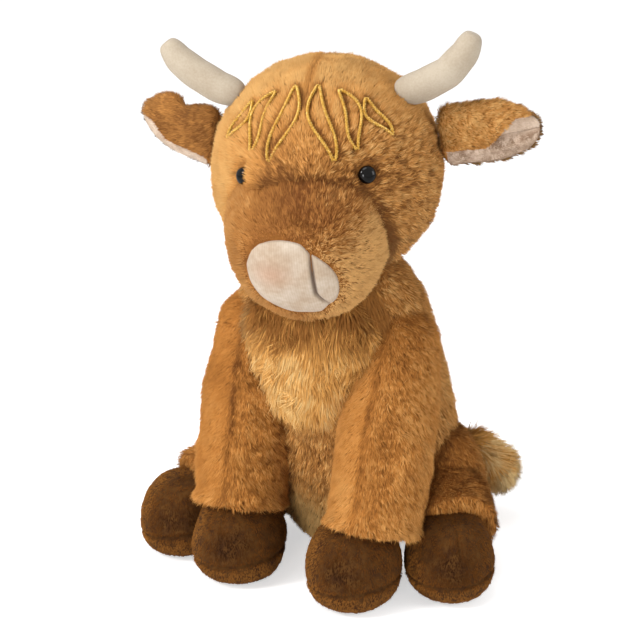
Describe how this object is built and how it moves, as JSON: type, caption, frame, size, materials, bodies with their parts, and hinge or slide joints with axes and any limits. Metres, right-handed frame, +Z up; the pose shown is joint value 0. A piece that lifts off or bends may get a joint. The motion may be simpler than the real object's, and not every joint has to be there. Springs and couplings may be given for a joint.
{
  "type": "plush cow",
  "caption": "Seated stuffed plush cow with soft horns, wide ears, a pale nose, long chest pile and dark hooves, whose head, legs, ears and tail swing at their seams.",
  "frame": {"origin": "centre of the seat panel's underside, on the surface it sits on", "axes": "+Z up, the toy faces -Y, its own left is +X"},
  "size_m": [0.2353, 0.2048, 0.3283],
  "materials": {
    "fur": "caramel short pile",
    "muzzle_fur": "brown short pile",
    "long_pile": "long combed pile",
    "hoof_velour": "dark brown short velour",
    "nose_knit": "pale brushed knit",
    "ear_lining": "pale short plush",
    "horn_suede": "cream suede cloth",
    "eye_black": "gloss black",
    "washer_white": "matt white",
    "gold_thread": "gold twisted thread",
    "filling": "white fibre",
    "pouch_cloth": "plain woven cloth",
    "seat_cloth": "brown cloth"
  },
  "bodies": {
    "torso": {"body_skin": "fur", "body_filling": "filling", "pellet_pouch": "pouch_cloth", "seat_panel": "seat_cloth", "chest_ruff": "long_pile"},
    "head": {"head_skin": "fur", "head_filling": "filling", "muzzle": "muzzle_fur", "nose_patch": "nose_knit", "horn_left": "horn_suede", "horn_right": "horn_suede", "eye_left": "eye_black", "eye_right": "eye_black", "eye_washer_left": "washer_white", "eye_washer_right": "washer_white", "forehead_lock_1": "gold_thread", "forehead_lock_2": "gold_thread", "forehead_lock_3": "gold_thread", "forehead_lock_4": "gold_thread", "forehead_lock_5": "gold_thread", "forehead_lock_6": "gold_thread"},
    "ear_left": {"ear_left": "fur", "ear_lining_left": "ear_lining"},
    "ear_right": {"ear_right": "fur", "ear_lining_right": "ear_lining"},
    "front_leg_left": {"front_leg_left": "fur", "front_hoof_left": "hoof_velour"},
    "hind_leg_left": {"hind_leg_left": "fur", "hind_hoof_left": "hoof_velour"},
    "front_leg_right": {"front_leg_right": "fur", "front_hoof_right": "hoof_velour"},
    "hind_leg_right": {"hind_leg_right": "fur", "hind_hoof_right": "hoof_velour"},
    "tail": {"tail": "fur", "tail_tuft": "long_pile"}
  },
  "joints": [
    {"name": "head_turn", "type": "hinge", "parent": "torso", "child": "head", "pos_m": [0, -0.04, 0.247], "axis": [0, 0, 1], "range_deg": [-15, 15], "stiffness_Nm_per_rad": 0.03},
    {"name": "ear_left_swing", "type": "hinge", "parent": "head", "child": "ear_left", "pos_m": [0.06182, -0.023, 0.26744], "axis": [-0.1278, -0.0267, 0.9914], "range_deg": [-25, 25], "stiffness_Nm_per_rad": 0.004},
    {"name": "ear_right_swing", "type": "hinge", "parent": "head", "child": "ear_right", "pos_m": [-0.06542, -0.04958, 0.25949], "axis": [0.1948, -0.0668, 0.9786], "range_deg": [-25, 25], "stiffness_Nm_per_rad": 0.004},
    {"name": "front_leg_left_swing", "type": "hinge", "parent": "torso", "child": "front_leg_left", "pos_m": [0.0442, -0.039, 0.1465], "axis": [-1, 0, 0], "range_deg": [0, 48], "stiffness_Nm_per_rad": 0.02},
    {"name": "front_leg_right_swing", "type": "hinge", "parent": "torso", "child": "front_leg_right", "pos_m": [-0.0442, -0.039, 0.1465], "axis": [-1, 0, 0], "range_deg": [0, 48], "stiffness_Nm_per_rad": 0.02},
    {"name": "hind_leg_left_splay", "type": "hinge", "parent": "torso", "child": "hind_leg_left", "pos_m": [0.057, -0.002, 0.047], "axis": [0, 0, 1], "range_deg": [0, 25], "stiffness_Nm_per_rad": 0.02},
    {"name": "hind_leg_right_splay", "type": "hinge", "parent": "torso", "child": "hind_leg_right", "pos_m": [-0.057, -0.002, 0.047], "axis": [0, 0, -1], "range_deg": [0, 25], "stiffness_Nm_per_rad": 0.02},
    {"name": "tail_wag", "type": "hinge", "parent": "torso", "child": "tail", "pos_m": [0, 0.054, 0.046], "axis": [0, 0, 1], "range_deg": [-5, 70], "stiffness_Nm_per_rad": 0.008}
  ]
}
